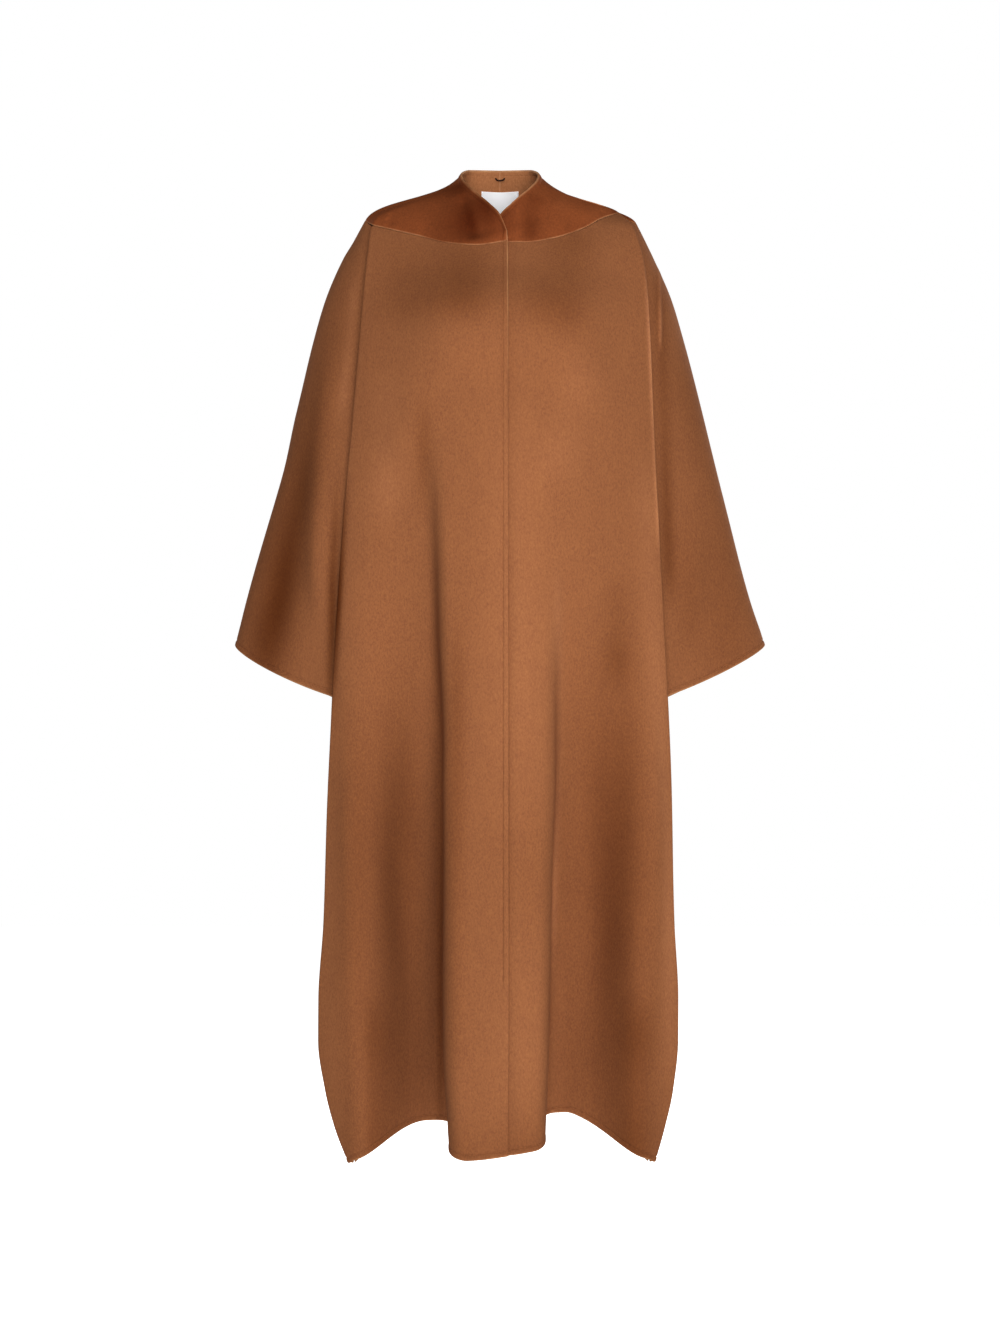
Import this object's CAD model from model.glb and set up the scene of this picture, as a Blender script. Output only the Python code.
import math
from collections import namedtuple

import bpy
import numpy as np
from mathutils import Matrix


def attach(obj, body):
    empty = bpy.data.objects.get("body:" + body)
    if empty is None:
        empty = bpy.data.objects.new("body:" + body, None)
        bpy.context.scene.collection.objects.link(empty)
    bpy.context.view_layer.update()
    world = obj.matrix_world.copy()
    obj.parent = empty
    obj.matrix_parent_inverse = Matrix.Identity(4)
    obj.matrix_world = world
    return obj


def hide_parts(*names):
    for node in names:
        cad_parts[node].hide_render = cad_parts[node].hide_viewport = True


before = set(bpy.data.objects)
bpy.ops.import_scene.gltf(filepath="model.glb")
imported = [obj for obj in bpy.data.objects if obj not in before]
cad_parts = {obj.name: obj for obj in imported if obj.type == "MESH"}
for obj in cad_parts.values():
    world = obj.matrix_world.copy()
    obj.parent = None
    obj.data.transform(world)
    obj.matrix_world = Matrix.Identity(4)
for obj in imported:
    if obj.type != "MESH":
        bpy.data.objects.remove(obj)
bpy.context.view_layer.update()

RIGHT = -1
LEFT = 1
MM = 0.001

# Sizes of the cloth, seams, closing, rolled edge, armholes, hem and collar, as in the solids. The hem, the
# tops of the sleeves and the hanger loop differ from these by a few millimetres, after the photo
CLOTH = 0.0024
CENTRE_GAP = 0.0006
YOKE_GAP = 0.0005
GAP = 0.0003
LAP_X = 0.0115
LAP_TUCK = 0.0038
LAP_FADE = 0.016
YOKE_TUCK = 0.0052
ROLL = 0.0045
ROLL_TURN = math.radians(172)
ROLL_STRIP = 0.012
ROLL_TOP_DROP = 0.006
ROLL_TOP_SHARE = 0.05
NEAR_EDGE = 0.96
SLEEVE_LAP = 0.010
SLEEVE_BEHIND = 0.0015
SLEEVE_TOP_BEHIND = 0.0020
SLEEVE_TOP_SHARE = 0.3
SLEEVE_TOP_DROP = 0.010
UNDERARM_Z = -0.717
UNDERARM_ROOM = 0.0048
UNDERARM_FADE = 0.12
UNDERARM_CURVE = 0.16
ARMHOLE_IN = 0.014
CUFF_BACK_Y = 0.105
CUFF_TIP_Z = -0.638
HEM_RIGHT_Z = -1.320
HEM_LEFT_Z = -1.302
HEM_BACK_Z = -1.322
HEM_HOLLOW_Y = -0.042
HEM_HOLLOW_HALF = 0.09
HEM_FORWARD_HALF = 0.08
HEM_FORWARD_FADE = 0.02
HEM_FORWARD_DROP = 0.24
HEM_TIP_DROP = 0.0035
HEM_TIP_SHARE = 0.05
HEM_STRIP_SHARE = 0.12
HEM_STRIP_FADE = 0.03
BACK_SEAM_Z = -0.115
BACK_SEAM_POWER = 2.2
BACK_HEM_POWER = 3
BACK_FULLNESS = 0.70
BACK_LAP = 0.001
LABEL_WIDTH = 0.057
LABEL_HEIGHT = 0.040
LABEL_TOP_Z = 0.031
LABEL_THICKNESS = 0.0010
LABEL_LIFT = 0.0008
LABEL_BODY = 0.6 * LABEL_THICKNESS
LABEL_SWELL = 0.25 * MM
LABEL_BORDER = 0.18 * MM
LABEL_BORDER_SHARE = 0.03
LOOP_WIDTH = 0.013
LOOP_SAG = 0.0036
LOOP_RADIUS = 0.0013
LOOP_Z = 0.0500
LOOP_LEAN = 1.0 * MM
PLY_RADIUS = 0.56 * LOOP_RADIUS
PLY_TURNS = 9.0
COLLAR_HALF = 0.042
COLLAR_BACK_Y = 0.02
COLLAR_LOW_Z = -0.04

Side = namedtuple(
    "Side",
    "crest_z back_top_z neck_flare seam_pull cuff_start cuff_rise corner_drop corner_start corner_end",
)
SIDES = {
    RIGHT: Side(-0.021, -0.037, 0.69, 0.66, 0.28, 0.86, 0.049, 0.48, 1.03),
    LEFT: Side(-0.026, -0.031, 0.64, 0.46, 0.33, 0.91, 0.066, 0.34, 1.05),
}

# Body sections: half widths to the rolled edges, depth of those edges, of the front and of the back.
# The left edge stands up to 4.3 mm further out at the armhole than in the solids
Section = namedtuple("Section", "z right_edge left_edge edge_y front_y back_y")
SECTIONS = (
    Section(-0.013, 0.1820, 0.1760, -0.004, -0.050, 0.078),
    Section(-0.036, 0.1880, 0.1942, -0.026, -0.062, 0.094),
    Section(-0.094, 0.1950, 0.2094, -0.045, -0.093, 0.118),
    Section(-0.170, 0.2015, 0.2158, -0.056, -0.131, 0.134),
    Section(-0.300, 0.2115, 0.2212, -0.063, -0.141, 0.144),
    Section(-0.460, 0.2260, 0.2288, -0.065, -0.146, 0.148),
    Section(-0.703, 0.2415, 0.2412, -0.067, -0.152, 0.150),
    Section(-0.860, 0.2485, 0.2462, -0.070, -0.159, 0.153),
    Section(-1.030, 0.2535, 0.2502, -0.075, -0.168, 0.160),
    Section(-1.143, 0.2600, 0.2557, -0.079, -0.175, 0.166),
    Section(-1.200, 0.2600, 0.2557, -0.081, -0.179, 0.169),
    Section(-1.271, 0.2500, 0.2487, -0.083, -0.184, 0.173),
    Section(-1.322, 0.2370, 0.2372, -0.085, -0.187, 0.176),
    Section(-1.372, 0.2185, 0.2227, -0.086, -0.190, 0.178),
)

# Seam between front and yoke: share of the way from the middle to the rolled edge, height on each side
Seam = namedtuple("Seam", "share right_z left_z")
FRONT_SEAM = (
    Seam(0.00, -0.0645, -0.0645),
    Seam(0.22, -0.0710, -0.0668),
    Seam(0.44, -0.0665, -0.0585),
    Seam(0.64, -0.0550, -0.0430),
    Seam(0.80, -0.0460, -0.0265),
    Seam(1.00, -0.0345, -0.0130),
)

# Large folds: a hollow that starts at a height and deepens to the hem
Fold = namedtuple("Fold", "name start_z start_x hem_x depth inner outer lean")
FRONT_FOLDS = (
    Fold("right hollow", -0.30, -0.112, -0.086, 0.132, 0.036, 0.128, 0.011),
    Fold("left hollow", -0.48, 0.092, 0.077, 0.118, 0.032, 0.136, 0.009),
    Fold("left hip", -0.38, 0.172, 0.150, 0.010, 0.050, 0.045, 0.0),
)
BACK_FOLDS = (
    Fold("back right hollow", -0.42, -0.090, -0.078, -0.050, 0.055, 0.085, 0.0),
    Fold("back left hollow", -0.36, 0.098, 0.086, -0.046, 0.055, 0.080, 0.0),
)

# Sleeve: pull of its curve in front and behind, as shares of its width and depth or in metres
FORE_REACH = 0.62
FORE_TURN = 0.45
HIND_REACH = 0.55
HIND_RISE = 0.40
HIND_SWELL = 0.012
HIND_TURN_TOP = 0.010
HIND_TURN_CUFF = 0.042

# Sleeve: line of the outer edge, from the shoulder to the tip of the cuff
Outer = namedtuple("Outer", "z right_x left_x y")
SLEEVE_OUTER = (
    Outer(-0.020, 0.1950, 0.1950, 0.008),
    Outer(-0.052, 0.2134, 0.2119, 0.016),
    Outer(-0.075, 0.2280, 0.2236, 0.020),
    Outer(-0.134, 0.2543, 0.2500, 0.026),
    Outer(-0.192, 0.2719, 0.2675, 0.030),
    Outer(-0.280, 0.2938, 0.2909, 0.033),
    Outer(-0.426, 0.3304, 0.3275, 0.036),
    Outer(-0.572, 0.3713, 0.3655, 0.038),
    Outer(-0.637, 0.3874, 0.3874, 0.038),
)

# Back edge of the armhole
Armhole = namedtuple("Armhole", "z back_y")
ARMHOLE_BACK = (
    Armhole(-0.020, 0.036),
    Armhole(-0.080, 0.066),
    Armhole(-0.150, 0.078),
    Armhole(-0.300, 0.076),
    Armhole(-0.450, 0.062),
    Armhole(-0.600, 0.044),
    Armhole(-0.717, 0.030),
)

# Neck edge of the right half, from the front edge over the throat and the side to the middle of the back
Neck = namedtuple("Neck", "around x y z")
NECK_EDGE = (
    Neck(0.00, 0.0098, -0.0772, -0.0500),
    Neck(0.07, 0.0000, -0.0745, -0.0262),
    Neck(0.15, -0.0157, -0.0675, -0.0090),
    Neck(0.22, -0.0280, -0.0575, 0.0030),
    Neck(0.34, -0.0430, -0.0395, 0.0186),
    Neck(0.46, -0.0535, -0.0180, 0.0340),
    Neck(0.56, -0.0562, 0.0050, 0.0460),
    Neck(0.78, -0.0450, 0.0450, 0.0590),
    Neck(1.00, 0.0000, 0.0660, 0.0620),
)
NECK_FRONT = 0.46
NECK_CREST = 0.60
NECK_STEEP = 1.60

# Yoke seam: its places along the neck edge, and how far down the cloth each piece's way is measured
SEAM_BEND = 0.92
SLEEVE_SEAM_ZERO = 0.30
SLEEVE_SEAM_FROM = 0.35
SLEEVE_SEAM_TO = 0.95
FRONT_LEAD = 0.036
SLEEVE_LEAD = 0.048
BACK_LEAD = 0.044

# Finer grid of the visible cloth, and rough lengths that its rows are set by
FRONT_LENGTH = 1.28
BACK_LENGTH = 1.22
SLEEVE_LENGTH = 0.62
YOKE_LENGTH = 0.11
FRONT_COLUMNS = 112
ROLL_COLUMNS = 12
STRIP_COLUMNS = 3
FRONT_ROWS = 226
BACK_COLUMNS = 176
BACK_ROWS = 206
SLEEVE_COLUMNS = 190
SLEEVE_ROWS = 128
YOKE_COLUMNS = 150
YOKE_ROWS = 46
FINE = 420
LABEL_COLUMNS = 41
LABEL_ROWS = 33
LOOP_STEPS = 61
LOOP_AROUND = 10

# Edges: a turned edge is doubled back and stitched this far in, a seam edge is only rounded
STITCH_IN = 8.0 * MM
STITCH_END_Z = -1.113
FAR = 0.2
TURNED_STOPS = (0.0, 0.25, 0.7, 1.3, 2.2, 3.6, 5.2, 6.5, 7.3, 8.0, 8.7, 9.6, 11.0, 13.5)
SEAM_STOPS = (0.0, 0.2, 0.5, 1.0, 1.7, 2.8, 4.5)
PLAIN_STOPS = (0.0, 0.6, 1.6)
TURNED_ROUND = 1.5 * MM
SEAM_ROUND = 1.1 * MM
SEAM_RIM_OFF = 1.4 * MM
CLOSING_RIM_OFF = 1.8 * MM
CLOSING_RIM_Z = -0.10
CLOSING_RIM_FADE = 0.25
ROUND_LIMIT = 0.48 * CLOTH
WELT = 0.45 * MM
WELT_FADE = 2.0 * MM
STITCH_DEPTH = 0.75 * MM
STITCH_WIDTH = 1.3 * MM
STITCH_BEHIND = 0.5
STITCH_LENGTH = 4.0 * MM
STITCH_PULL = -2.4
CALM_WIDTH = 30.0 * MM
CALM_CREASE = 0.35
ALLOWANCE_STEPS = (12.0 * MM, 6.0 * MM, 1.2 * MM)
ALLOWANCE_UNDER = 0.6 * MM
ALLOWANCE_REST = 0.30
ALLOWANCE_TURN = (0.22, 0.36)
FRONT_HALF_Y = 0.045
FRONT_HALF_FADE = 0.030

# Red, green and blue lost or gained where the nap is a shade darker or lighter: dark wool is redder
NAP_DEPTH = (1.0, 1.22, 1.45)
DARKEST_NAP = -0.62  # no darker, as the blue of the cloth would fall below black
NAP_STRETCH = (1.0, 1.0, 0.55)
DRIFT_SIZE = 26.0 * MM
RIM_SHARE = 0.72

# Slight unevenness of the cloth: long waves across it that grow and fade down the hang
WHOLE_TURN = 6.28
RIPPLE_COUNT = 7
RIPPLE_SIZE = 0.16
RIPPLE_LEAN = 0.35
RIPPLE_WAVES = (0.7, 1.6)
RIPPLE_DRIFTS = (2.0, 5.0)
RIPPLE_FADE = 0.4

# Creases in the cloth, given as they lie seen from the front: a soft ridge (depth above 0) or trough
# from one place to another, its spread to the left and right of its line, its bow and its unevenness
CREASE_UNEVEN = 0.28
CREASE_WAVES = 9.0
CREASE_PHASE = 6.3
BOW_PHASE = 6.0
Crease = namedtuple("Crease", "name x1 z1 x2 z2 left right depth bow phase fade")
FRONT_CREASES = (
    Crease("chest break", 0.185, -0.196, -0.170, -0.196, 0.080, 0.056, 0.0110, 0.002, 0.2, 0.30),
    Crease("left breast ridge", 0.124, -0.205, 0.066, -0.450, 0.030, 0.036, 0.0050, 0.004, 0.1, 0.25),
    Crease("right breast ridge", -0.118, -0.230, -0.146, -0.420, 0.030, 0.034, 0.0036, -0.004, 0.4, 0.30),
    Crease("middle swell", 0.024, -0.260, 0.018, -1.340, 0.070, 0.062, 0.0100, 0.003, 0.4, 0.14),
    Crease("right valley foot", -0.0860, -0.640, -0.0910, -1.330, 0.010, 0.008, -0.0060, 0.000, 0.6, 0.22),
    Crease("middle tube edge", -0.0700, -0.720, -0.0720, -1.340, 0.008, 0.016, 0.0050, 0.000, 0.3, 0.20),
    Crease("right panel trough", -0.140, -0.740, -0.138, -1.240, 0.026, 0.020, -0.0070, 0.004, 0.5, 0.45),
    Crease("left panel trough", 0.122, -0.640, 0.124, -1.270, 0.026, 0.032, -0.0110, -0.004, 0.2, 0.40),
    Crease("left panel ridge", 0.214, -0.640, 0.216, -1.250, 0.030, 0.020, 0.0070, 0.003, 0.7, 0.35),
    Crease("right panel ridge", -0.214, -0.740, -0.216, -1.240, 0.022, 0.022, 0.0050, 0.003, 0.9, 0.35),
    Crease("left valley", 0.0790, -0.480, 0.0690, -1.020, 0.009, 0.009, 0.0026, 0.000, 0.3, 0.35),
    Crease("middle ripple", 0.022, -0.420, 0.020, -1.300, 0.016, 0.022, 0.0016, 0.004, 0.0, 0.30),
    Crease("closing end pucker", -0.004, -1.100, 0.002, -1.126, 0.004, 0.005, -0.0008, 0.000, 0.5, 0.45),
)
YOKE_CREASES = (
    Crease("right neck fold", -0.0560, 0.012, -0.0350, -0.070, 0.014, 0.030, -0.0055, 0.001, 0.2, 0.20),
    Crease("left neck fold", 0.0500, 0.004, 0.0410, -0.066, 0.011, 0.010, -0.0030, 0.001, 0.7, 0.25),
    Crease("right pleat", -0.1665, -0.018, -0.1635, -0.040, 0.004, 0.003, 0.0024, 0.001, 0.1, 0.35),
    Crease("right tuck", -0.1590, -0.016, -0.1580, -0.040, 0.004, 0.006, -0.0026, 0.001, 0.4, 0.35),
    Crease("left shoulder tuck", 0.1500, -0.006, 0.1440, -0.030, 0.006, 0.005, -0.0016, 0.000, 0.8, 0.35),
)
SLEEVE_CREASES = (
    Crease("left sleeve line", 0.2300, -0.084, 0.2298, -0.224, 0.0024, 0.0034, 0.0016, 0.000, 0.3, 0.20),
    Crease("left sleeve swell", 0.290, -0.420, 0.262, -0.640, 0.020, 0.022, 0.0030, 0.004, 0.6, 0.35),
    Crease("right sleeve roll", -0.248, -0.180, -0.262, -0.660, 0.020, 0.024, 0.0080, 0.004, 0.2, 0.30),
    Crease("right sleeve hollow", -0.292, -0.300, -0.330, -0.650, 0.026, 0.030, -0.0060, 0.003, 0.9, 0.30),
)
BACK_CREASES = (
    Crease("right blade ridge", -0.096, -0.170, -0.080, -0.520, 0.030, 0.026, 0.0040, 0.004, 0.3, 0.30),
    Crease("left blade ridge", 0.104, -0.160, 0.086, -0.480, 0.026, 0.030, 0.0040, -0.004, 0.8, 0.30),
    Crease("right arm drag", -0.168, -0.240, -0.150, -0.640, 0.022, 0.024, -0.0036, 0.006, 0.1, 0.35),
    Crease("left arm drag", 0.172, -0.260, 0.156, -0.660, 0.024, 0.022, -0.0036, -0.005, 0.6, 0.35),
    Crease("right side ridge", -0.176, -0.760, -0.186, -1.260, 0.024, 0.026, 0.0060, 0.003, 0.5, 0.35),
    Crease("left side ridge", 0.180, -0.720, 0.188, -1.250, 0.026, 0.024, 0.0056, -0.003, 0.0, 0.35),
    Crease("middle ripple", -0.012, -0.560, -0.006, -1.300, 0.030, 0.026, 0.0030, 0.004, 0.7, 0.30),
)

# Nap brushed another way is a shade darker (depth below 0) or lighter: placed as the creases are
FRONT_NAP = (
    Crease("right chest", 0.030, -0.158, -0.200, -0.158, 0.110, 0.029, -0.23, 0.000, 0.85, 0.40),
    Crease("left chest", 0.112, 0.000, 0.084, -0.236, 0.046, 0.032, -0.15, 0.000, 0.95, 0.30),
    Crease("left chest low", 0.150, -0.162, -0.020, -0.162, 0.046, 0.028, -0.10, 0.000, 0.41, 0.40),
    Crease("left breast", 0.124, -0.215, 0.068, -0.435, 0.030, 0.036, 0.08, 0.000, 0.1, 0.30),
    Crease("right breast", -0.156, -0.235, -0.165, -0.500, 0.026, 0.026, 0.13, 0.000, 0.3, 0.30),
    Crease("right valley top", -0.105, -0.270, -0.108, -0.480, 0.012, 0.012, -0.14, 0.000, 0.6, 0.30),
    Crease("middle", 0.034, -0.240, 0.028, -1.340, 0.055, 0.055, 0.12, 0.006, 0.6, 0.14),
    Crease("middle shade", 0.044, -0.620, 0.040, -1.220, 0.060, 0.040, -0.13, 0.000, 0.4, 0.50),
    Crease("tube left", -0.060, -0.520, -0.062, -1.300, 0.016, 0.014, -0.18, 0.000, 0.7, 0.25),
    Crease("right valley", -0.0880, -0.560, -0.0850, -1.460, 0.007, 0.005, -0.28, 0.000, 0.4, 0.30),
    Crease("right panel", -0.142, -0.600, -0.136, -1.650, 0.050, 0.036, -0.20, 0.003, 0.84, 0.30),
    Crease("right side", -0.204, -0.640, -0.206, -1.500, 0.020, 0.020, -0.12, 0.000, 0.74, 0.25),
    Crease("left valley", 0.0790, -0.500, 0.0690, -1.160, 0.008, 0.008, 0.36, 0.000, 0.2, 0.25),
    Crease("left panel top", 0.164, -0.520, 0.168, -0.730, 0.024, 0.022, -0.16, 0.000, 0.2, 0.40),
    Crease("left panel", 0.164, -0.480, 0.170, -1.750, 0.064, 0.046, -0.32, 0.003, 0.90, 0.42),
    Crease("left side", 0.206, -0.340, 0.238, -0.960, 0.020, 0.016, 0.20, 0.000, 0.3, 0.20),
    Crease("left side low", 0.238, -0.820, 0.243, -1.290, 0.016, 0.014, 0.22, 0.000, 0.6, 0.25),
    Crease("left fold edge", 0.2110, -0.080, 0.2300, -0.520, 0.005, 0.004, 0.72, 0.000, 0.75, 0.16),
    Crease("right fold edge", -0.2180, -0.380, -0.2415, -0.760, 0.007, 0.006, -0.48, 0.000, 0.5, 0.22),
    Crease("right fold edge top", -0.1870, -0.036, -0.2105, -0.300, 0.003, 0.003, -0.12, 0.000, 0.2, 0.15),
    Crease("right hem", -0.180, -1.100, -0.176, -1.460, 0.012, 0.030, -0.17, 0.000, 0.1, 0.30),
    Crease("left hem", 0.196, -1.100, 0.192, -1.460, 0.028, 0.026, -0.20, 0.000, 0.1, 0.30),
    Crease("middle hem", -0.080, -1.350, 0.080, -1.350, 0.050, 0.050, -0.12, 0.000, 0.2, 0.20),
)
SLEEVE_NAP = (
    Crease("right outer half", -0.206, -0.020, -0.398, -0.950, 0.036, 0.032, -0.40, 0.002, 0.39, 0.42),
    Crease("right cuff", -0.300, -0.470, -0.372, -0.700, 0.030, 0.045, -0.05, 0.000, 0.3, 0.30),
    Crease("right strip", -0.206, -0.090, -0.228, -0.340, 0.008, 0.008, 0.16, 0.000, 0.2, 0.25),
    Crease("right by the fold", -0.2310, -0.380, -0.2460, -0.780, 0.007, 0.007, -0.36, 0.000, 0.5, 0.26),
    Crease("left by the fold", 0.229, -0.070, 0.243, -0.610, 0.011, 0.011, -0.22, 0.000, 0.2, 0.16),
    Crease("left by the fold low", 0.258, -0.430, 0.274, -0.680, 0.020, 0.020, -0.08, 0.000, 0.5, 0.30),
    Crease("left sleeve line", 0.2300, -0.084, 0.2298, -0.224, 0.0022, 0.0022, 0.34, 0.000, 0.3, 0.20),
    Crease("left outer half", 0.270, -0.160, 0.352, -0.760, 0.060, 0.034, -0.14, 0.002, 0.2, 0.20),
)
BACK_NAP = (
    Crease("shoulder", -0.130, -0.130, 0.130, -0.130, 0.070, 0.060, -0.10, 0.000, 0.4, 0.18),
    Crease("middle", -0.010, -0.300, 0.000, -1.300, 0.060, 0.060, 0.06, 0.006, 0.2, 0.14),
    Crease("right side", -0.150, -0.800, -0.150, -1.260, 0.028, 0.028, -0.10, 0.003, 0.6, 0.35),
    Crease("left side", 0.150, -0.760, 0.152, -1.260, 0.028, 0.028, -0.10, 0.003, 0.1, 0.35),
)
YOKE_NAP = (
    Crease("right throat", -0.0430, 0.040, -0.0010, -0.066, 0.024, 0.040, -0.42, 0.000, 0.5, 0.14),
    Crease("right neck fold", -0.0640, 0.036, -0.0340, -0.072, 0.044, 0.011, -0.40, 0.000, 0.3, 0.14),
    Crease("left throat", 0.0530, 0.012, 0.0400, -0.070, 0.013, 0.013, -0.24, 0.000, 0.2, 0.20),
    Crease("left shoulder", 0.076, 0.010, 0.170, -0.022, 0.030, 0.020, 0.16, 0.000, 0.2, 0.20),
    Crease("left shoulder end", 0.160, -0.004, 0.196, -0.032, 0.009, 0.009, -0.32, 0.000, 0.4, 0.20),
)

# Kinds of piece: finish of the first column, last column, first row and last row, creases and nap, seed and
# height of the ripples, and the share of creases and nap that the back half has
Kind = namedtuple("Kind", "edges creases naps seed ripple behind")
BACK_KIND = Kind(("seam", "seam", "seam", "turned"), BACK_CREASES, BACK_NAP, 11, 0.0030, 1.0)
FRONT_KIND = Kind(("closing", "open", "seam", "turned"), FRONT_CREASES, FRONT_NAP, 21, 0.0022, 1.0)
SLEEVE_KIND = Kind(("open", "seam", "open", "turned"), SLEEVE_CREASES, SLEEVE_NAP, 31, 0.0020, 0.45)
YOKE_KIND = Kind(("closing", "taped", "turned", "seam"), YOKE_CREASES, YOKE_NAP, 41, 0.0010, 0.0)

# Studio: contrast of the picture, camera, floor, room light and soft lamps (metres and watts)
CONTRAST = 0.85
CAMERA_PLACE = (0.0, -3.76, -0.67)
CAMERA_LENS = 70.0
CAMERA_SENSOR = 36.0
FLOOR_Z = -1.75
FLOOR_SIZE = 14.0
FLOOR_LIGHT = 0.10
ROOM_LIGHT = 0.10
LAMP_AIM_Z = -0.7
Lamp = namedtuple("Lamp", "name x y z size energy")
LAMPS = (
    Lamp("front", 0.40, -2.90, -0.35, 1.5, 54.0),
    Lamp("front_high", -0.60, -2.70, 1.10, 1.6, 32.0),
    Lamp("right", 2.60, -2.30, -0.60, 1.6, 16.0),
    Lamp("left_low", -2.30, -2.30, -1.40, 1.2, 5.0),
    Lamp("back_right", 2.40, 2.60, 0.40, 1.6, 90.0),
    Lamp("back_left", -2.20, 2.80, 0.40, 1.8, 44.0),
)


def mix(a, b, share):
    return a + (b - a) * share


def ease(share):
    share = np.clip(share, 0.0, 1.0)
    return share * share * (3.0 - 2.0 * share)


def points(x, y, z):
    return np.stack(np.broadcast_arrays(x, y, z), axis=-1).astype(float)


def unit(ways):
    return ways / np.maximum(np.linalg.norm(ways, axis=-1, keepdims=True), 1e-9)


def read(table, column, at):
    """Values of a column at places along the table's first column, on a smooth curve through the rows."""
    places = np.array([row[0] for row in table], float)
    values = np.array([getattr(row, column) for row in table], float)
    if places[0] > places[-1]:
        places = places[::-1]
        values = values[::-1]
    at = np.clip(at, places[0], places[-1])
    steps = np.diff(places)
    slopes = np.diff(values) / steps
    before = slopes[:-1]
    after = slopes[1:]
    same = before * after > 0.0
    inner = np.where(same, 2.0 * before * after / np.where(same, before + after, 1.0), 0.0)
    tangents = np.concatenate((slopes[:1], inner, slopes[-1:]))
    i = np.clip(np.searchsorted(places, at, side="right") - 1, 0, len(slopes) - 1)
    t = (at - places[i]) / steps[i]
    rise = t * t * (3.0 - 2.0 * t)
    pull = t * (1.0 - t) ** 2 * tangents[i] - t * t * (1.0 - t) * tangents[i + 1]
    return mix(values[i], values[i + 1], rise) + steps[i] * pull


def hand(side):
    return "right" if side == RIGHT else "left"


def fold_shift(fold, x, z, hem_z):
    """Sideways and backward shift that one large fold gives the cloth."""
    grown = np.clip((fold.start_z - z) / (fold.start_z - hem_z), 0.0, 1.0)
    grown = ease(grown ** 0.8)
    middle = mix(fold.start_x, fold.hem_x, grown)
    outward = 1.0 if fold.hem_x > 0.0 else -1.0
    away = (x - middle) * outward
    q = np.minimum(np.abs(away) / np.where(away > 0.0, fold.outer, fold.inner), 1.0)
    sink = fold.depth * grown * (1.0 + np.cos(np.pi * q)) / 2.0
    push = np.where(away > 0.0, 0.0, -outward * fold.lean * grown * np.sin(2.0 * np.pi * q))
    return push, sink


def edge_half(side, z):
    return read(SECTIONS, hand(side) + "_edge", z)


def front_surface(x, z):
    """Points of the front at sideways places and heights, large folds included."""
    half = np.where(x < 0.0, edge_half(RIGHT, z), edge_half(LEFT, z))
    share = np.minimum(np.abs(x) / half, 1.0)
    y = mix(read(SECTIONS, "front_y", z), read(SECTIONS, "edge_y", z), share * share)
    moved = x
    for fold in FRONT_FOLDS:
        push, sink = fold_shift(fold, x, z, HEM_RIGHT_Z)
        moved = moved + push
        y = y + sink
    return points(moved, y, z)


def front_x(side, share, z):
    return mix(-side * LAP_X, side * (edge_half(side, z) - ROLL), share)


def front_seam_z(side, share):
    return read(FRONT_SEAM, hand(side) + "_z", share)


def front_hem_z(side, share):
    """Height of a front's hem: lower where the cloth comes forward, and drawn down at the corner."""
    x = front_x(side, share, HEM_RIGHT_Z)
    hollow = mix(HEM_RIGHT_Z, HEM_LEFT_Z, ease((x + HEM_HOLLOW_HALF) / (2.0 * HEM_HOLLOW_HALF)))
    ahead = HEM_HOLLOW_Y - front_surface(x, HEM_RIGHT_Z)[..., 1]
    forward = ahead * (1.0 - ease((np.abs(x) - HEM_FORWARD_HALF) / HEM_FORWARD_FADE))
    its = SIDES[side]
    corner = its.corner_drop * ease((share - its.corner_start) / (its.corner_end - its.corner_start))
    tip = HEM_TIP_DROP * np.clip((share - 1.0) / HEM_TIP_SHARE + 1.0, 0.0, 1.0)
    return hollow - HEM_FORWARD_DROP * forward - corner - tip


def front_at(side, share, down):
    """Points of a front panel: share across it, and down from its yoke seam to its hem."""
    z = mix(front_seam_z(side, share), front_hem_z(side, share), down)
    x = front_x(side, share, z)
    place = front_surface(x, z)
    if side == LEFT:
        place[..., 1] += LAP_TUCK * ease((LAP_X + LAP_FADE - x) / LAP_FADE)
    return place


def front_frame(side, z):
    """Start of the rolled edge at heights, with the directions outward along the cloth and out of it."""
    top = front_seam_z(side, 1.0)
    hem = front_hem_z(side, 1.0)
    down = np.clip((z - top) / (hem - top), 0.0, 1.0)
    start = front_at(side, 1.0, down)
    along = start - front_at(side, NEAR_EDGE, down)
    along[..., 2] = 0.0
    along = unit(along)
    out = points(along[..., 1], -along[..., 0], 0.0) * side
    return start, along, out


def rolled(place, turn, strip):
    """Points on the rolled edge after a turn and a length of flat strip, and the ways out of the cloth."""
    start, along, out = place
    turn = np.asarray(turn, float)[..., None]
    strip = np.asarray(strip, float)[..., None]
    at = start + along * (ROLL * np.sin(turn)) - out * (ROLL * (1.0 - np.cos(turn)))
    at = at + (along * np.cos(turn) - out * np.sin(turn)) * strip
    return at, along * np.sin(turn) + out * np.cos(turn)


def lengths_along(line):
    """Length from the start of a line to each of its points."""
    return np.concatenate(([0.0], np.cumsum(np.linalg.norm(np.diff(line, axis=0), axis=1))))


def stops_along(total, count, start, end):
    """Stops along a length: set ones near both ends (in mm) and even ones between them."""
    first = np.array(start) * MM
    last = total - np.array(end)[::-1] * MM
    return np.concatenate((first, np.linspace(first[-1], last[0], count + 1)[1:-1], last))


def spread(lines, count, start, end):
    """The same lines with their points at the stops."""
    made = []
    for line in lines:
        lengths = lengths_along(line)
        stops = stops_along(lengths[-1], count, start, end)
        made.append(np.stack([np.interp(stops, lengths, line[:, axis]) for axis in range(3)], axis=-1))
    return np.array(made)


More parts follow.
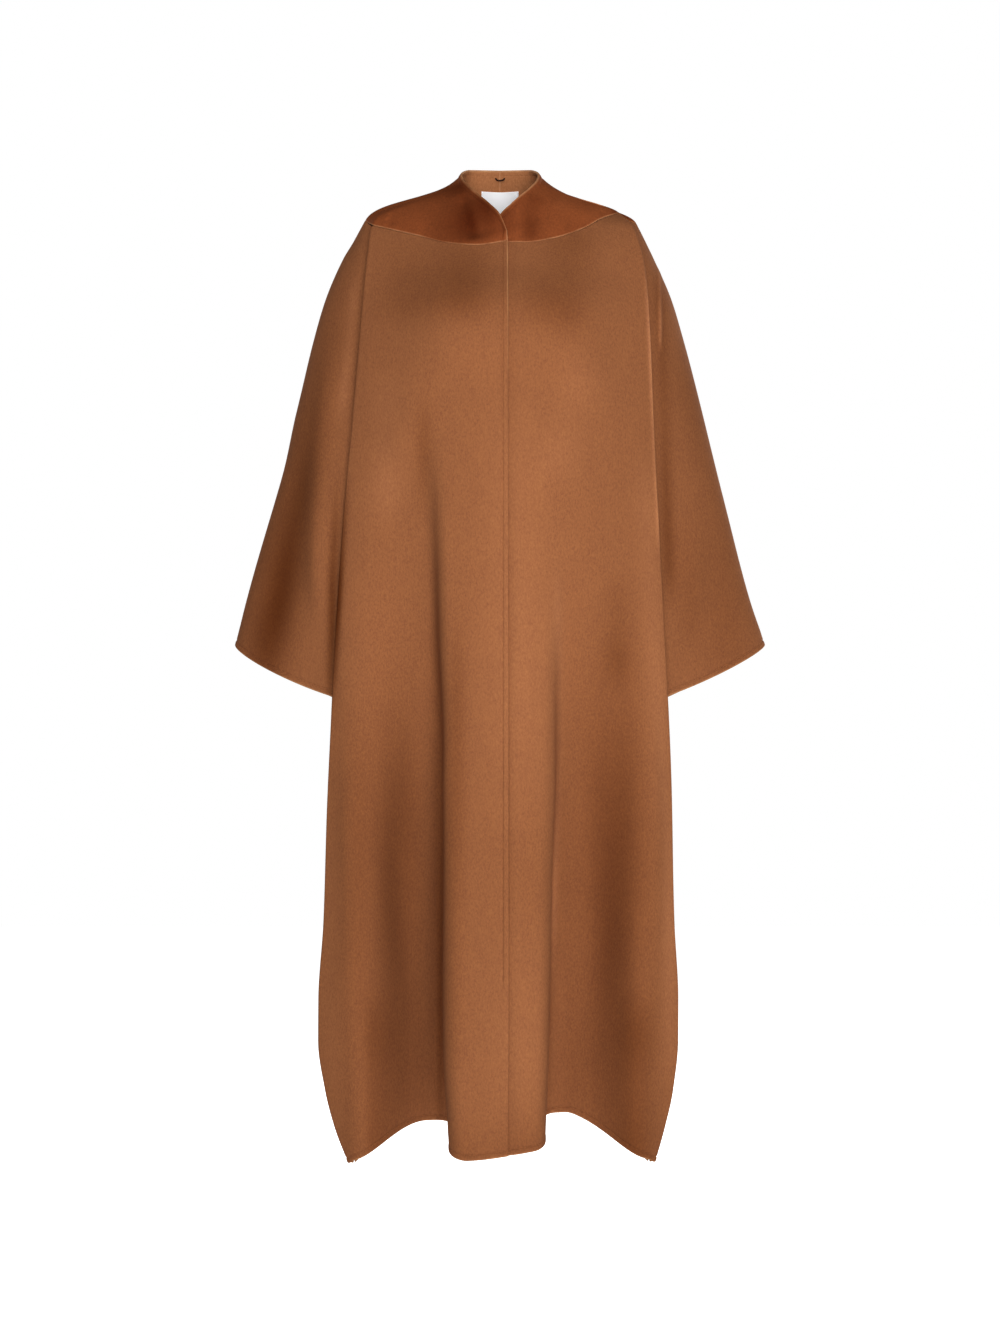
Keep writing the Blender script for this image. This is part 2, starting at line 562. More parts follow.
def front_sheet(side):
    """A front panel with its rolled edge, and how far down each of its rows is."""
    down = stops_along(FRONT_LENGTH, FRONT_ROWS, SEAM_STOPS, TURNED_STOPS) / FRONT_LENGTH
    share = np.linspace(0.0, 1.0, FINE + 1)
    lines = front_at(side, share[None, :], down[:, None])
    rows = spread(lines, FRONT_COLUMNS, TURNED_STOPS, (0.0,))
    drop = ROLL_TOP_DROP * (1.0 - ease(down / ROLL_TOP_SHARE))
    place = [part[:, None, :] for part in front_frame(side, rows[:, -1, 2] - drop)]
    turns = ROLL_TURN * np.arange(1, ROLL_COLUMNS + 1) / ROLL_COLUMNS
    strips = ROLL_STRIP * np.arange(1, STRIP_COLUMNS + 1) / STRIP_COLUMNS
    roll = rolled(place, turns[None, :], 0.0)[0]
    narrowed = mix(HEM_STRIP_SHARE, 1.0, ease((1.0 - down) / HEM_STRIP_FADE))
    strip = rolled(place, ROLL_TURN, strips[None, :] * narrowed[:, None])[0]
    return np.concatenate((rows, roll, strip), axis=1), down


def back_edge(side, z):
    """Edge of the back: over the rolled edge of the front below the arm, along the armhole above it."""
    at, out = rolled(front_frame(side, z), ROLL_TURN, BACK_LAP)
    room = UNDERARM_ROOM * (1.0 - ease((UNDERARM_Z - z) / UNDERARM_FADE))
    lapped = at + out * (CLOTH + 2.0 * GAP + room)[..., None]
    armhole = points(side * (edge_half(side, z) - ARMHOLE_IN), read(ARMHOLE_BACK, "back_y", z), z)
    return mix(lapped, armhole, ease((z - UNDERARM_Z) / UNDERARM_CURVE)[..., None])


def back_half(side, share, down):
    """Points of half the back: share 0 at the middle and 1 at the edge, down from seam to hem."""
    top = mix(BACK_SEAM_Z, SIDES[side].back_top_z, share ** BACK_SEAM_POWER)
    hem = mix(HEM_BACK_Z, front_hem_z(side, np.array(1.0)), share ** BACK_HEM_POWER)
    z = mix(top, hem, down)
    edge = back_edge(side, z)
    x = share * edge[..., 0]
    y = mix(edge[..., 1], read(SECTIONS, "back_y", z), ease((1.0 - share) ** BACK_FULLNESS))
    for fold in BACK_FOLDS:
        push, sink = fold_shift(fold, x, z, HEM_BACK_Z)
        x = x + push
        y = y + sink
    return points(x, y, z)


def back_sheet():
    """The back panel, from its right edge to its left one."""
    down = stops_along(BACK_LENGTH, BACK_ROWS, SEAM_STOPS, TURNED_STOPS) / BACK_LENGTH
    share = np.linspace(0.0, 1.0, FINE // 2 + 1)
    right = back_half(RIGHT, share[None, ::-1], down[:, None])
    left = back_half(LEFT, share[None, 1:], down[:, None])
    lines = np.concatenate((right, left), axis=1)
    return spread(lines, BACK_COLUMNS, SEAM_STOPS, SEAM_STOPS), down


def curve(a, b, c, d, t):
    """Smooth curve from a to d, pulled towards b and c."""
    s = 1.0 - t
    return a * s ** 3 + b * (3.0 * s * s * t) + c * (3.0 * s * t * t) + d * t ** 3


def sleeve_sheet(side):
    """A sleeve, from its front edge round the outside to its back edge."""
    down = stops_along(SLEEVE_LENGTH, SLEEVE_ROWS, SEAM_STOPS, TURNED_STOPS) / SLEEVE_LENGTH
    its = SIDES[side]
    front_z = mix(front_seam_z(side, 1.0) - SLEEVE_TOP_DROP, UNDERARM_Z, down)
    back_z = mix(its.back_top_z, UNDERARM_Z, down)
    outer_z = mix(its.crest_z, CUFF_TIP_Z, down)
    place = front_frame(side, front_z)
    front, behind = rolled(place, ROLL_TURN, SLEEVE_LAP)
    off = mix(SLEEVE_TOP_BEHIND, SLEEVE_BEHIND, ease(down / SLEEVE_TOP_SHARE))
    front = front + behind * off[:, None]
    outer_x = read(SLEEVE_OUTER, hand(side) + "_x", outer_z)
    outer = points(side * outer_x, read(SLEEVE_OUTER, "y", outer_z), outer_z)
    back = back_edge(side, back_z) + np.array((side * 2.0 * GAP, 0.0, 0.0))
    reach = np.abs(outer[:, 0] - front[:, 0]) * FORE_REACH
    near = front + place[1] * reach[:, None]
    near[:, 2] = mix(front[:, 2], outer[:, 2], its.cuff_start)
    turned = outer - points(0.0, np.abs(outer[:, 1] - front[:, 1]) * FORE_TURN, 0.0)
    turned[:, 2] = mix(front[:, 2], outer[:, 2], its.cuff_rise)
    t = np.linspace(0.0, 1.0, FINE // 2 + 1)[None, :, None]
    fore = curve(front[:, None], near[:, None], turned[:, None], outer[:, None], t)
    reach = np.abs(outer[:, 0] - back[:, 0]) * HIND_REACH
    near = back + points(side * reach, HIND_SWELL * ease(down * 3.0), 0.0)
    deep = np.maximum(near[:, 1], CUFF_BACK_Y)
    near[:, 1] = mix(near[:, 1], deep, ease((down - 0.5) / 0.5))
    near[:, 2] = mix(back[:, 2], outer[:, 2], HIND_RISE)
    turned = outer + points(0.0, mix(HIND_TURN_TOP, HIND_TURN_CUFF, ease(down * 1.6)), 0.0)
    hind = curve(outer[:, None], turned[:, None], near[:, None], back[:, None], t)
    lines = np.concatenate((fore, hind[:, 1:]), axis=1)
    return spread(lines, SLEEVE_COLUMNS, PLAIN_STOPS, SEAM_STOPS), down


def shares_across(rows):
    """Share of the first row's length at each of its points."""
    lengths = lengths_along(rows[0])
    return lengths / lengths[-1]


def lead(rows, down, share):
    """Way down the cloth from the seam at each column of a sheet."""
    row = int(np.searchsorted(down, share))
    return unit(rows[row] - rows[0])


def yoke_seam(side, sheets):
    """Lower edge of half the yoke on front, sleeve and back: place at the neck, point and way down."""
    rows, down = sheets["front_" + hand(side)]
    rows = rows[:, :rows.shape[1] - ROLL_COLUMNS - STRIP_COLUMNS]
    place = NECK_FRONT * shares_across(rows) ** SEAM_BEND
    front = np.column_stack((place, rows[0], lead(rows, down, FRONT_LEAD)))
    rows, down = sheets["sleeve_" + hand(side)]
    share = shares_across(rows)
    place = mix(NECK_FRONT, NECK_CREST, (share - SLEEVE_SEAM_ZERO) / (1.0 - SLEEVE_SEAM_ZERO))
    sleeve = np.column_stack((place, rows[0], lead(rows, down, SLEEVE_LEAD)))
    sleeve = sleeve[(share > SLEEVE_SEAM_FROM) & (share < SLEEVE_SEAM_TO)]
    rows, down = sheets["back"]
    share = shares_across(rows)
    if side == LEFT:
        share = 1.0 - share
    place = mix(NECK_CREST, 1.0, 2.0 * share)
    back = np.column_stack((place, rows[0], lead(rows, down, BACK_LEAD)))
    back = back[share < 0.5]
    if side == LEFT:
        back = back[::-1]
    middle = back[-1].copy()
    middle[:2] = (1.0, side * CENTRE_GAP / 2.0)
    return np.vstack((front, sleeve, back, middle))


def yoke_sheet(side, sheets):
    """Half the yoke with its collar, from the neck edge down to the seam."""
    seam = yoke_seam(side, sheets)
    lengths = lengths_along(seam[:, 1:4])
    stops = stops_along(lengths[-1], YOKE_COLUMNS, TURNED_STOPS, SEAM_STOPS)
    seam = np.stack([np.interp(stops, lengths, column) for column in seam.T], axis=-1)
    direction = unit(seam[:, 4:7])
    start = points(*(read(NECK_EDGE, axis, seam[:, 0]) for axis in "xyz"))
    start[:, 0] *= -side
    end = seam[:, 1:4] - direction * YOKE_GAP
    way = end - start
    its = SIDES[side]
    leave = way * np.array((its.neck_flare, its.neck_flare, NECK_STEEP))
    arrive = direction * (np.linalg.norm(way, axis=1, keepdims=True) * its.seam_pull)
    down = stops_along(YOKE_LENGTH, YOKE_ROWS, TURNED_STOPS[:8], SEAM_STOPS) / YOKE_LENGTH
    t = down[:, None, None]
    rows = curve(start[None], (start + leave / 3.0)[None], (end - arrive / 3.0)[None], end[None], t)
    if side == LEFT:
        tuck = YOKE_TUCK * ease((LAP_X + LAP_FADE - rows[..., 0]) / LAP_FADE) * (1.0 - down[:, None])
        rows[..., 1] += np.where(rows[..., 1] < 0.0, tuck, 0.0)
    rows[:, -1, 0] = side * CENTRE_GAP / 2.0
    return rows, down


def facing(rows, turn):
    """Ways out of the cloth at the points of a sheet."""
    wide = np.pad(rows, ((1, 1), (1, 1), (0, 0)), mode="edge")
    across = wide[1:-1, 2:] - wide[1:-1, :-2]
    down = wide[2:, 1:-1] - wide[:-2, 1:-1]
    return unit(np.cross(across, down)) * turn


def relief(rows, creases):
    """Height that the creases give each point of a sheet."""
    height = np.zeros(rows.shape[:2])
    x = rows[..., 0]
    z = rows[..., 2]
    for crease in creases:
        run = np.array((crease.x2 - crease.x1, crease.z2 - crease.z1))
        length = np.linalg.norm(run)
        run = run / length
        t = ((x - crease.x1) * run[0] + (z - crease.z1) * run[1]) / length
        away = (x - crease.x1) * -run[1] + (z - crease.z1) * run[0]
        inside = np.clip(t, 0.0, 1.0)
        away = away - crease.bow * np.sin(np.pi * inside * 2.0 + crease.phase * BOW_PHASE)
        q = away / np.where(away > 0.0, crease.right, crease.left)
        uneven = 1.0 + CREASE_UNEVEN * np.sin(CREASE_WAVES * inside + CREASE_PHASE * crease.phase)
        ends = ease(t / crease.fade) * ease((1.0 - t) / crease.fade)
        height += crease.depth * uneven * ends * np.exp(-q * q)
    return height


def ripples(rows, seed, height):
    """Slight unevenness of hanging cloth: a few long waves, mostly across the hang."""
    draw = np.random.default_rng(seed)
    made = np.zeros(rows.shape[:2])
    for _ in range(RIPPLE_COUNT):
        lean = draw.uniform(-RIPPLE_LEAN, RIPPLE_LEAN)
        wave = draw.uniform(*RIPPLE_WAVES) * RIPPLE_SIZE
        phase = draw.uniform(0.0, WHOLE_TURN)
        slow = draw.uniform(*RIPPLE_DRIFTS) * RIPPLE_SIZE
        drift = np.sin(rows[..., 2] / slow * WHOLE_TURN + draw.uniform(0.0, WHOLE_TURN))
        across = np.sin((rows[..., 0] + lean * rows[..., 2]) / wave * WHOLE_TURN + phase)
        made += across * (1.0 - RIPPLE_FADE + RIPPLE_FADE * drift)
    return made * height / RIPPLE_COUNT


def run_lengths(rows):
    """Lengths along the cloth, across from the first column and down from the first row."""
    across = np.linalg.norm(np.diff(rows, axis=1), axis=2)
    down = np.linalg.norm(np.diff(rows, axis=0), axis=2)
    across = np.pad(np.cumsum(across, axis=1), ((0, 0), (1, 0)))
    down = np.pad(np.cumsum(down, axis=0), ((1, 0), (0, 0)))
    return across, down


def rounding(distance, radius):
    """How far a face falls away near an edge, so that the edge is round."""
    near = np.clip(radius - distance, 0.0, radius)
    return radius - np.sqrt(np.maximum(radius * radius - near * near, 0.0))


def tucked(rows, down, turn):
    """A sheet with its seam allowance, which goes up under the piece above it, furthest at the front."""
    up = -lead(rows, down, SLEEVE_LEAD)
    out = facing(rows, turn)[0]
    first, last = ALLOWANCE_TURN
    reach = mix(1.0, ALLOWANCE_REST, ease((shares_across(rows) - first) / (last - first)))[:, None]
    inward = out * (CLOTH + ALLOWANCE_UNDER)
    under = [rows[0] + up * step * reach - inward for step in ALLOWANCE_STEPS]
    return np.concatenate((np.array(under), rows))


def cloth_piece(name, rows, turn, kind, looks, seed):
    """A sheet with rounded and stitched edges, made from the points of its outer face.

    An edge is turned and stitched, closing (turned too), a seam, a taped seam with a paler rim, or open.
    Creases calm down towards an edge, but run on through the closing, where one front lies on the other.
    """
    out = facing(rows, turn)
    across, down = run_lengths(rows)
    sides = (across, across[:, -1:] - across, down, down[-1:] - down)
    calm = np.ones(rows.shape[:2])
    for finish, distance in zip(kind.edges, sides):
        if finish != "closing":
            calm = np.minimum(calm, ease(distance / CALM_WIDTH))
    ahead = mix(kind.behind, 1.0, ease((FRONT_HALF_Y - rows[..., 1]) / FRONT_HALF_FADE))
    creased = relief(rows, kind.creases) * ahead
    height = creased * mix(CALM_CREASE, 1.0, calm) + ripples(rows, seed, kind.ripple) * calm
    nap = np.maximum(relief(rows, kind.naps) * ahead, DARKEST_NAP)
    rows = rows + out * height[..., None]
    out = facing(rows, turn)
    fall = np.zeros(rows.shape[:2])
    stitched = np.full(rows.shape[:2], FAR)
    run = np.zeros(rows.shape[:2])
    nearest = np.full(rows.shape[:2], FAR)
    for place, (finish, distance) in enumerate(zip(kind.edges, sides)):
        if finish == "open":
            continue
        sewn = finish in ("seam", "taped")
        radius = SEAM_ROUND if sewn else TURNED_ROUND
        fall = np.maximum(fall, rounding(distance, radius))
        rim_off = SEAM_RIM_OFF if finish == "seam" else 0.0
        if finish == "closing":
            rim_off = CLOSING_RIM_OFF * ease((CLOSING_RIM_Z - rows[..., 2]) / CLOSING_RIM_FADE)
        nearest = np.minimum(nearest, distance + rim_off)
        if not sewn:
            along = down if place < 2 else across
            if finish == "closing":
                distance = np.where(rows[..., 2] < STITCH_END_Z, FAR, distance)
            run = np.where(distance < stitched, along, run)
            stitched = np.minimum(stitched, distance)
    welt = WELT * ease((STITCH_IN - stitched) / WELT_FADE)
    groove = STITCH_DEPTH * np.exp(-((stitched - STITCH_IN) / STITCH_WIDTH) ** 2)
    fall = np.minimum(fall, ROUND_LIMIT)
    outer = rows + out * (welt - groove - fall)[..., None]
    inner = rows - out * (CLOTH + welt - groove * STITCH_BEHIND - fall)[..., None]
    marks = {"edge": nearest, "nap": nap}
    return shell(name, outer, inner, turn, (across, down), (stitched, run), marks, looks)


def shell(name, outer, inner, turn, cloth, stitch, marks, looks):
    """Closed thin shell between two grids of points, with its cloth and stitch coordinates."""
    high, wide = outer.shape[:2]
    index = np.arange(high * wide).reshape(high, wide)
    square = (index[:-1, :-1], index[:-1, 1:], index[1:, 1:], index[1:, :-1])
    quads = np.stack(square, axis=-1).reshape(-1, 4)
    border = np.concatenate((index[0, :-1], index[:-1, -1], index[-1, :0:-1], index[:0:-1, 0]))
    after = np.roll(border, -1)
    under = high * wide
    rim = np.stack((border, border + under, after + under, after), axis=-1)
    if turn < 0:
        quads = quads[:, ::-1]
        rim = rim[:, ::-1]
    faces = np.concatenate((quads, quads[:, ::-1] + under, rim))
    mesh = bpy.data.meshes.new(name)
    mesh.from_pydata(np.concatenate((outer.reshape(-1, 3), inner.reshape(-1, 3))), [], faces.tolist())
    corners = np.zeros(len(mesh.loops), np.int32)
    mesh.loops.foreach_get("vertex_index", corners)
    for title, pair in (("cloth", cloth), ("stitch", stitch)):
        layer = mesh.uv_layers.new(name=title)
        flat = np.stack(pair, axis=-1).reshape(-1, 2)
        flat = np.concatenate((flat, flat))
        layer.data.foreach_set("uv", flat[corners].astype(np.float32).ravel())
    for title, values in marks.items():
        layer = mesh.attributes.new(title, "FLOAT", "POINT")
        flat = values.reshape(-1)
        layer.data.foreach_set("value", np.concatenate((flat, flat)).astype(np.float32))
    for look in looks:
        mesh.materials.append(look)
    which = np.zeros(len(faces), np.int32)
    which[len(quads):] = len(looks) - 1
    mesh.polygons.foreach_set("material_index", which)
    mesh.validate()
    return linked(name, mesh)


def linked(name, mesh):
    """A piece with this mesh, all of it shaded smooth."""
    mesh.polygons.foreach_set("use_smooth", np.ones(len(mesh.polygons), bool))
    mesh.update()
    piece = bpy.data.objects.new(name, mesh)
    bpy.context.scene.collection.objects.link(piece)
    return piece


def colour(text):
    """sRGB hex value as linear red, green, blue and alpha."""
    parts = [int(text[i:i + 2], 16) / 255.0 for i in (0, 2, 4)]
    linear = [p / 12.92 if p <= 0.04045 else ((p + 0.055) / 1.055) ** 2.4 for p in parts]
    return (*linear, 1.0)


def connect(tree, node, inputs):
    """Sets a node's sockets to values, or links them to the outputs of other nodes."""
    for socket, value in inputs.items():
        if isinstance(value, bpy.types.NodeSocket):
            tree.links.new(value, node.inputs[socket])
        else:
            node.inputs[socket].default_value = value


def add(tree, kind, inputs, output, **settings):
    """One output of a new node with its settings, its inputs' values and its links."""
    made = tree.nodes.new("ShaderNode" + kind)
    for name, value in settings.items():
        setattr(made, name, value)
    connect(tree, made, inputs)
    return made.outputs[output]


def new_look(name):
    """A material, its nodes and its shader."""
    look = bpy.data.materials.new(name)
    look.use_nodes = True
    return look, look.node_tree, look.node_tree.nodes["Principled BSDF"]


def felted_wool(name, dark, light, rim, rim_mm, fleck_mm, cloud, roughness, sheen):
    """Double-faced wool, felted and brushed: a short nap that scatters light, flecked fibre by fibre.

    The flecks are drawn coarser than single fibres, which are too fine to show. The nap darkens or lightens
    the cloth, its edges are paler where they are worn, and each stitch pulls the cloth in.
    """
    look, tree, shader = new_look(name)
    place = add(tree, "TexCoord", {}, "Object")
    lying = add(tree, "Mapping", {"Vector": place, "Scale": NAP_STRETCH}, "Vector")
    fleck = add(tree, "TexNoise", {
        "Vector": lying, "Scale": 1.0 / (fleck_mm * MM), "Detail": 3.0, "Roughness": 0.62}, "Fac")
    drift = add(tree, "TexNoise", {
        "Vector": lying, "Scale": 1.0 / DRIFT_SIZE, "Detail": 3.0, "Roughness": 0.55}, "Fac")
    shade = add(tree, "MapRange", {
        "Value": fleck, "From Min": 0.25, "From Max": 0.75, "To Min": 0.0, "To Max": 1.0 - cloud}, "Result")
    soft = add(tree, "MapRange", {
        "Value": drift, "From Min": 0.3, "From Max": 0.7, "To Min": 0.0, "To Max": cloud}, "Result")
    both = add(tree, "Math", {0: shade, 1: soft}, "Value", operation="ADD")
    base = add(tree, "Mix", {"Factor": both, 6: colour(dark), 7: colour(light)}, 2, data_type="RGBA")
    edge = add(tree, "Attribute", {}, "Fac", attribute_name="edge")
    worn = add(tree, "MapRange", {
        "Value": edge, "From Min": 0.4 * MM, "From Max": rim_mm * MM,
        "To Min": RIM_SHARE, "To Max": 0.0}, "Result")
    patchy = add(tree, "MapRange", {
        "Value": drift, "From Min": 0.35, "From Max": 0.55, "To Min": 0.45, "To Max": 1.0}, "Result")
    worn = add(tree, "Math", {0: worn, 1: patchy}, "Value", operation="MULTIPLY")
    base = add(tree, "Mix", {"Factor": worn, 6: base, 7: colour(rim)}, 2, data_type="RGBA")
    nap = add(tree, "Attribute", {}, "Fac", attribute_name="nap")
    gain = add(tree, "VectorMath", {0: nap, 1: NAP_DEPTH, 2: (1.0,) * 3}, "Vector", operation="MULTIPLY_ADD")
    base = add(tree, "VectorMath", {0: base, 1: gain}, "Vector", operation="MULTIPLY")
    stitch = add(tree, "UVMap", {}, "UV", uv_map="stitch")
    off = add(tree, "SeparateXYZ", {"Vector": stitch}, "X")
    run = off.node.outputs["Y"]
    off = add(tree, "Math", {0: off, 1: STITCH_IN}, "Value", operation="SUBTRACT")
    off = add(tree, "Math", {0: off}, "Value", operation="ABSOLUTE")
    line = add(tree, "MapRange", {
        "Value": off, "From Min": 0.3 * MM, "From Max": 1.5 * MM, "To Min": 1.0, "To Max": 0.0}, "Result")
    beat = add(tree, "Math", {0: run, 1: STITCH_LENGTH}, "Value", operation="PINGPONG")
    beat = add(tree, "MapRange", {
        "Value": beat, "From Min": 1.0 * MM, "From Max": 3.0 * MM, "To Min": 0.3, "To Max": 1.0}, "Result")
    pull = add(tree, "Math", {0: line, 1: beat}, "Value", operation="MULTIPLY")
    pull = add(tree, "Math", {0: pull, 1: STITCH_PULL}, "Value", operation="MULTIPLY")
    rough = add(tree, "Math", {0: fleck, 1: pull}, "Value", operation="ADD")
    bump = add(tree, "Bump", {"Height": rough, "Strength": 0.35, "Distance": 0.5 * MM}, "Normal")
    connect(tree, shader, {
        "Base Color": base, "Normal": bump, "Roughness": roughness, "Specular IOR Level": 0.12, "IOR": 1.54,
        "Sheen Weight": sheen, "Sheen Roughness": 0.45, "Sheen Tint": colour(light)})
    return look


def label_satin():
    """Woven satin of bleached white yarn: faint crosswise rib, soft gloss and its brightener's glow."""
    look, tree, shader = new_look("white_satin_weave")
    cloth = add(tree, "UVMap", {}, "UV", uv_map="cloth")
    rib = add(tree, "TexWave", {
        "Vector": cloth, "Scale": 0.05 / (0.5 * MM), "Distortion": 0.4}, "Fac", bands_direction="Y")
    base = add(tree, "Mix", {"Factor": rib, 6: colour("F4F4F4"), 7: colour("FFFFFF")}, 2,
               data_type="RGBA")
    bump = add(tree, "Bump", {"Height": rib, "Strength": 0.25, "Distance": 0.1 * MM}, "Normal")
    connect(tree, shader, {
        "Base Color": base, "Normal": bump, "Roughness": 0.5, "IOR": 1.5,
        "Emission Color": colour("F4F6FF"), "Emission Strength": 0.16})
    return look


def loop_cord():
    """Dark cord, matt, with a fine unevenness of its fibres."""
    look, tree, shader = new_look("dark_twisted_cord")
    place = add(tree, "TexCoord", {}, "Object")
    fibre = add(tree, "TexNoise", {"Vector": place, "Scale": 1.0 / (0.4 * MM), "Detail": 2.0}, "Fac")
    base = add(tree, "Mix", {"Factor": fibre, 6: colour("2A1710"), 7: colour("4A2A1A")}, 2,
               data_type="RGBA")
    connect(tree, shader, {"Base Color": base, "Roughness": 0.85, "IOR": 1.5})
    return look


def white_when_seen(tree, light):
    """Full strength where the camera looks, and a set light for all else."""
    seen = add(tree, "LightPath", {}, "Is Camera Ray")
    return add(tree, "MapRange", {"Value": seen, "To Min": light, "To Max": 1.0}, "Result")


def collar_terms(x, z):
    """Terms of the collar's fit, the same on both sides."""
    x, z = np.broadcast_arrays(x, z)
    return np.stack((np.ones_like(x), x * x, x ** 4, z, z * z, x * x * z, z ** 3), axis=-1)


def collar_fit(sheets):
    """Smooth fit of the collar's back: its depth from the sideways place and the height."""
    rows = np.concatenate([sheets["yoke_" + hand(side)][0].reshape(-1, 3) for side in (RIGHT, LEFT)])
    x, y, z = rows.T
    near = (np.abs(x) < COLLAR_HALF) & (y > COLLAR_BACK_Y) & (z > COLLAR_LOW_Z)
    return np.linalg.lstsq(collar_terms(x[near], z[near]), y[near], rcond=None)[0]


def collar_y(fit, x, z):
    return collar_terms(x, z) @ fit


def label_piece(fit, look):
    """Bare label inside the back of the collar: slightly swollen, with a raised border."""
    across = np.linspace(-0.5, 0.5, LABEL_COLUMNS)[None, :]
    down = np.linspace(0.0, 1.0, LABEL_ROWS)[:, None]
    x = LABEL_WIDTH * across
    z = LABEL_TOP_Z - LABEL_HEIGHT * down
    rows = points(x, collar_y(fit, x, z), z)
    out = facing(rows, 1.0)
    rows = rows - out * (CLOTH + LABEL_LIFT)
    middle = (1.0 - (2.0 * across) ** 2) * np.sin(np.pi * down)
    border = np.minimum(0.5 - np.abs(across), np.minimum(down, 1.0 - down))
    swell = LABEL_SWELL * middle + LABEL_BORDER * np.exp(-(border / LABEL_BORDER_SHARE) ** 2)
    front = rows - out * (LABEL_BODY + swell)[..., None]
    far = np.full(rows.shape[:2], FAR)
    return shell("label_white", rows, front, 1.0, run_lengths(rows), (far, far), {}, (look,))


def loop_piece(fit, look):
    """Two plies wound round each other along a short hanging arc."""
    turn = np.linspace(0.0, np.pi, LOOP_STEPS)
    x = -np.cos(turn) * LOOP_WIDTH / 2.0
    z = LOOP_Z - np.sin(turn) * LOOP_SAG
    y = collar_y(fit, x, z) - CLOTH - LOOP_RADIUS - 5.0 * GAP - LOOP_LEAN * np.sin(turn)
    path = points(x, y, z)
    along = unit(np.gradient(path, axis=0))
    side = unit(np.cross(along, np.array((0.0, 1.0, 0.0))))
    up = np.cross(side, along)
    verts = []
    faces = []
    for half in (0.0, np.pi):
        first = len(verts)
        for i in range(LOOP_STEPS):
            wind = half + turn[i] * PLY_TURNS
            off = side[i] * math.cos(wind) + up[i] * math.sin(wind)
            centre = path[i] + off * (LOOP_RADIUS - PLY_RADIUS)
            for k in range(LOOP_AROUND):
                angle = 2.0 * np.pi * k / LOOP_AROUND
                verts.append(centre + (side[i] * math.cos(angle) + up[i] * math.sin(angle)) * PLY_RADIUS)
        for i in range(LOOP_STEPS - 1):
            for k in range(LOOP_AROUND):
                a = first + i * LOOP_AROUND + k
                b = first + i * LOOP_AROUND + (k + 1) % LOOP_AROUND
                faces.append((a, b, b + LOOP_AROUND, a + LOOP_AROUND))
        last = first + (LOOP_STEPS - 1) * LOOP_AROUND
        faces.append(tuple(first + k for k in reversed(range(LOOP_AROUND))))
        faces.append(tuple(last + k for k in range(LOOP_AROUND)))
    mesh = bpy.data.meshes.new("loop_twisted")
    mesh.from_pydata([tuple(v) for v in verts], [], faces)
    mesh.materials.append(look)
    return linked("loop_twisted", mesh)


def declare(piece, node):
    """Ties a cloth piece to the part and states the size that it was cut to."""
    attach(piece, "root")
    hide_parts(node)


# Cloth pieces
sheets = {"back": back_sheet()}
for side in (RIGHT, LEFT):
    sheets["front_" + hand(side)] = front_sheet(side)
    sheets["sleeve_" + hand(side)] = sleeve_sheet(side)
    sheets["yoke_" + hand(side)] = yoke_sheet(side, sheets)

wool = felted_wool("felted_wool", "87573C", "A46F48", "CE9C70", 2.6, 2.1, 0.12, 0.95, 0.02)
inner_wool = felted_wool("felted_wool_inside", "A9724C", "C48A60", "E0B48C", 3.2, 2.1, 0.12, 0.95, 0.02)
yoke_wool = felted_wool("brushed_wool", "7C4627", "9C5932", "DCA87C", 3.6, 2.4, 0.30, 0.85, 0.02)

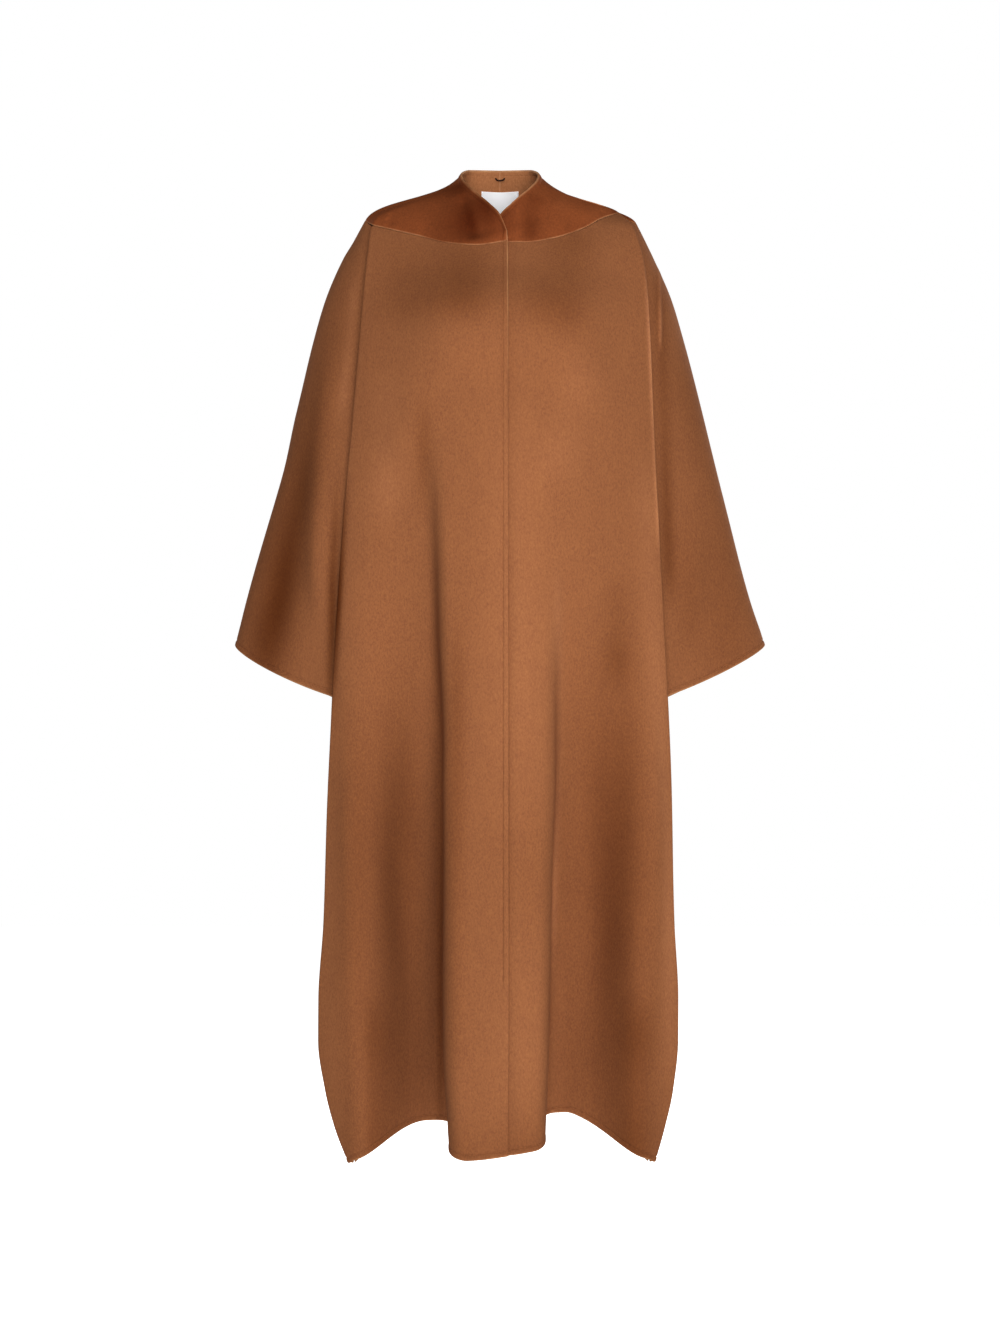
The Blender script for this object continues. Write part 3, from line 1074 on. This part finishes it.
rows = sheets["back"][0]
back = cloth_piece("back_wool", rows, 1.0, BACK_KIND, (wool,), BACK_KIND.seed)
declare(back, "back")
for side in (RIGHT, LEFT):
    name = "front_" + hand(side)
    rows = sheets[name][0]
    piece = cloth_piece(name + "_wool", rows, -side, FRONT_KIND, (wool,), FRONT_KIND.seed)
    declare(piece, name)
    name = "sleeve_" + hand(side)
    rows = tucked(*sheets[name], -side)
    piece = cloth_piece(name + "_wool", rows, -side, SLEEVE_KIND, (wool,), SLEEVE_KIND.seed + side)
    declare(piece, name)
    name = "yoke_" + hand(side)
    rows = sheets[name][0]
    piece = cloth_piece(name + "_wool", rows, -side, YOKE_KIND, (yoke_wool, inner_wool), YOKE_KIND.seed)
    declare(piece, name)

fit = collar_fit(sheets)
label = label_piece(fit, label_satin())
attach(label, "root")
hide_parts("label")
loop = loop_piece(fit, loop_cord())
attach(loop, "root")
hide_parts("hanger_loop")

# Pale floor, plain light and camera
scene = bpy.context.scene
scene.view_settings.view_transform = "Standard"
scene.view_settings.gamma = CONTRAST
bpy.ops.object.select_all(action="DESELECT")
bpy.ops.mesh.primitive_plane_add(size=FLOOR_SIZE, location=(0.0, 0.0, FLOOR_Z))
floor = bpy.context.object
floor.name = "floor"
bpy.ops.object.transform_apply(location=True, rotation=True, scale=True)
pale, tree, shader = new_look("white_paint")
connect(tree, shader, {
    "Base Color": colour("F3F3F3"), "Roughness": 0.9, "Emission Color": colour("FFFFFF"),
    "Emission Strength": white_when_seen(tree, FLOOR_LIGHT)})
floor.data.materials.append(pale)

world = bpy.data.worlds.new("studio")
scene.world = world
world.use_nodes = True
tree = world.node_tree
connect(tree, tree.nodes["Background"], {
    "Color": colour("FFFFFF"), "Strength": white_when_seen(tree, ROOM_LIGHT)})

for lamp in LAMPS:
    bpy.ops.object.light_add(type="AREA", location=(lamp.x, lamp.y, lamp.z))
    made = bpy.context.object
    made.name = lamp.name
    made.visible_camera = False
    made.data.size = lamp.size
    made.data.energy = lamp.energy
    to = np.array((0.0, 0.0, LAMP_AIM_Z)) - np.array((lamp.x, lamp.y, lamp.z))
    tilt = math.acos(-to[2] / np.linalg.norm(to))
    swing = math.atan2(to[1], to[0]) - math.pi / 2.0
    made.rotation_euler = (tilt, 0.0, swing)

bpy.ops.object.camera_add(location=CAMERA_PLACE, rotation=(math.pi / 2.0, 0.0, 0.0))
camera = bpy.context.object
camera.data.lens = CAMERA_LENS
camera.data.sensor_width = CAMERA_SENSOR
scene.camera = camera
